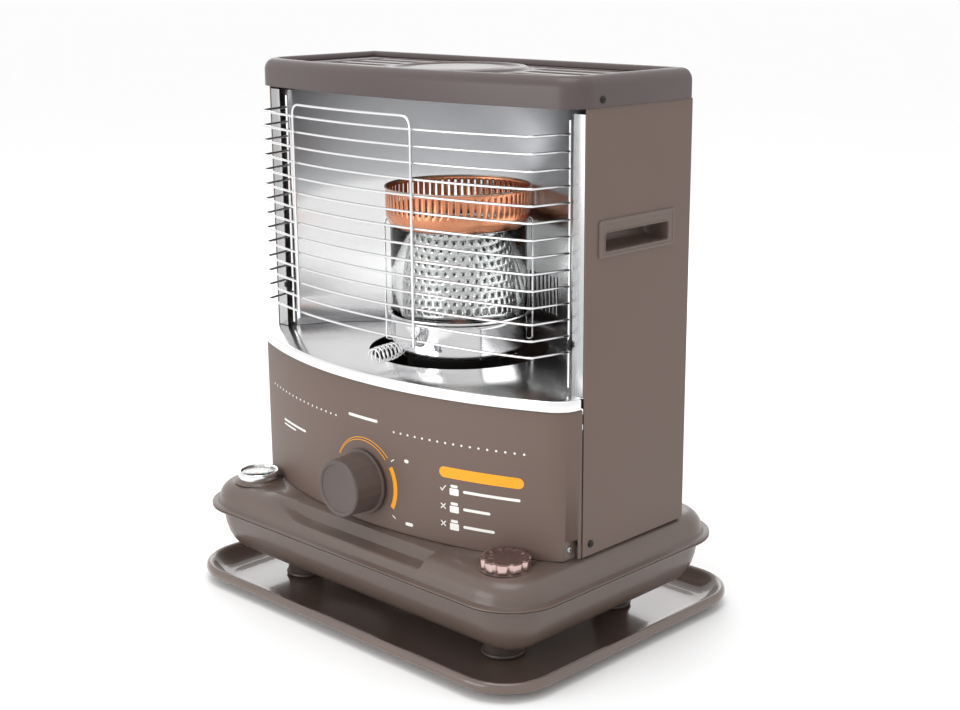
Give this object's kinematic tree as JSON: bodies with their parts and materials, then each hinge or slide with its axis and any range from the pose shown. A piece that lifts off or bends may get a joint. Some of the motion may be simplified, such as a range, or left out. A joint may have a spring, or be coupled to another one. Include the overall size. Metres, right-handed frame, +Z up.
{
  "type": "kerosene heater",
  "caption": "Radiant kerosene heater with bowed front, wire guard, reflector, glass burner, fuel tank and drip tray.",
  "frame": {"origin": "centre of the drip tray's flat underside", "axes": "+X to the right and -Y to the front as the user faces it, +Z up"},
  "size_m": [0.455, 0.342, 0.52],
  "materials": {
    "brown_enamel": "satin enamel",
    "dark_enamel": "satin enamel",
    "polished_steel": "polished",
    "zinc_steel": "zinc plated",
    "copper_ring": "copper plated",
    "brass": "drawn brass",
    "blackened_steel": "black oxide",
    "knob_plastic": "moulded",
    "cap_plastic": "moulded with a metallic edge",
    "rubber": "matte",
    "clear_glass": "clear borosilicate",
    "dial_card": "printed dial",
    "needle_red": "painted",
    "cotton_wick": "woven cotton and glass fibre",
    "float_foam": "foam"
  },
  "bodies": {
    "cabinet": {"drip_tray": "brown_enamel", "foot_front_left": "dark_enamel", "foot_front_right": "dark_enamel", "foot_rear_left": "dark_enamel", "foot_rear_right": "dark_enamel", "tank_lower_shell": "brown_enamel", "tank_upper_shell": "brown_enamel", "filler_neck": "zinc_steel", "filler_strainer": "brass", "gauge_bezel": "polished_steel", "gauge_dial": "dial_card", "gauge_lens": "clear_glass", "float_bracket": "zinc_steel", "draft_tube": "zinc_steel", "tank_gasket": "rubber", "wick_tube": "blackened_steel", "spindle_gland": "brass", "wing_nut_1": "zinc_steel", "wing_nut_2": "zinc_steel", "wing_nut_3": "zinc_steel", "front_panel": "brown_enamel", "base_plate": "polished_steel", "reflector": "polished_steel", "side_panel_left": "brown_enamel", "handle_cup_left": "dark_enamel", "rail_left": "polished_steel", "guard_clip_left": "blackened_steel", "side_screw_left": "blackened_steel", "cap_screw_left": "blackened_steel", "side_panel_right": "brown_enamel", "handle_cup_right": "dark_enamel", "rail_right": "polished_steel", "guard_clip_right": "blackened_steel", "side_screw_right": "blackened_steel", "cap_screw_right": "blackened_steel", "back_panel": "brown_enamel", "top_cap": "brown_enamel", "top_grille": "brown_enamel", "heat_shield": "zinc_steel", "tip_bracket": "zinc_steel"},
    "guard": {"guard": "polished_steel"},
    "burner": {"burner_drum": "polished_steel", "glass_cylinder": "clear_glass", "outer_sleeve": "polished_steel", "inner_sleeve": "zinc_steel", "flame_spreader": "zinc_steel", "top_ring": "copper_ring", "coil_handle": "polished_steel", "glass_wire_left": "polished_steel", "glass_wire_right": "polished_steel"},
    "knob": {"knob": "knob_plastic", "pinion_spindle": "zinc_steel"},
    "wick": {"wick": "cotton_wick", "wick_holder": "brass"},
    "filler_seal": {"filler_seal": "rubber"},
    "filler_cap": {"filler_cap": "cap_plastic"},
    "float": {"float_arm": "float_foam"},
    "needle": {"gauge_needle": "needle_red"},
    "tip_weight": {"tip_weight": "blackened_steel"}
  },
  "joints": [
    {"name": "guard_swing", "type": "hinge", "parent": "cabinet", "child": "guard", "pos_m": [-0.1865, -0.05, 0.37], "axis": [0, 0, -1], "range_deg": [0, 55]},
    {"name": "burner_turn", "type": "hinge", "parent": "cabinet", "child": "burner", "pos_m": [0, 0.003, 0.25], "axis": [0, 0, 1], "range_deg": [-12, 12]},
    {"name": "knob_turn", "type": "hinge", "parent": "cabinet", "child": "knob", "pos_m": [0, -0.126, 0.143], "axis": [0, 1, 0], "range_deg": [0, 187]},
    {"name": "wick_lift", "type": "slide", "parent": "cabinet", "child": "wick", "axis": [0, 0, 1], "range_m": [0, 0.01958]},
    {"name": "filler_cap_lift", "type": "slide", "parent": "cabinet", "child": "filler_seal", "axis": [0, 0, 1], "range_m": [0, 0.06]},
    {"name": "filler_cap_turn", "type": "hinge", "parent": "filler_seal", "child": "filler_cap", "pos_m": [0.172, -0.115, 0.108], "axis": [0, 0, 1], "continuous": true},
    {"name": "float_swing", "type": "hinge", "parent": "cabinet", "child": "float", "pos_m": [-0.171, -0.116, 0.056], "axis": [1, 0, 0], "range_deg": [0, 31]},
    {"name": "needle_turn", "type": "hinge", "parent": "cabinet", "child": "needle", "pos_m": [-0.171, -0.116, 0.107], "axis": [0, 0, 1], "range_deg": [0, 124]},
    {"name": "tip_weight_swing", "type": "hinge", "parent": "cabinet", "child": "tip_weight", "pos_m": [0.13, 0.04, 0.222], "axis": [0, 1, 0], "range_deg": [-10, 10]}
  ],
  "couplings": [
    {"joint": "knob_turn", "follows": "wick_lift", "rad_per_m": 166.67},
    {"joint": "needle_turn", "follows": "float_swing", "ratio": 4}
  ]
}
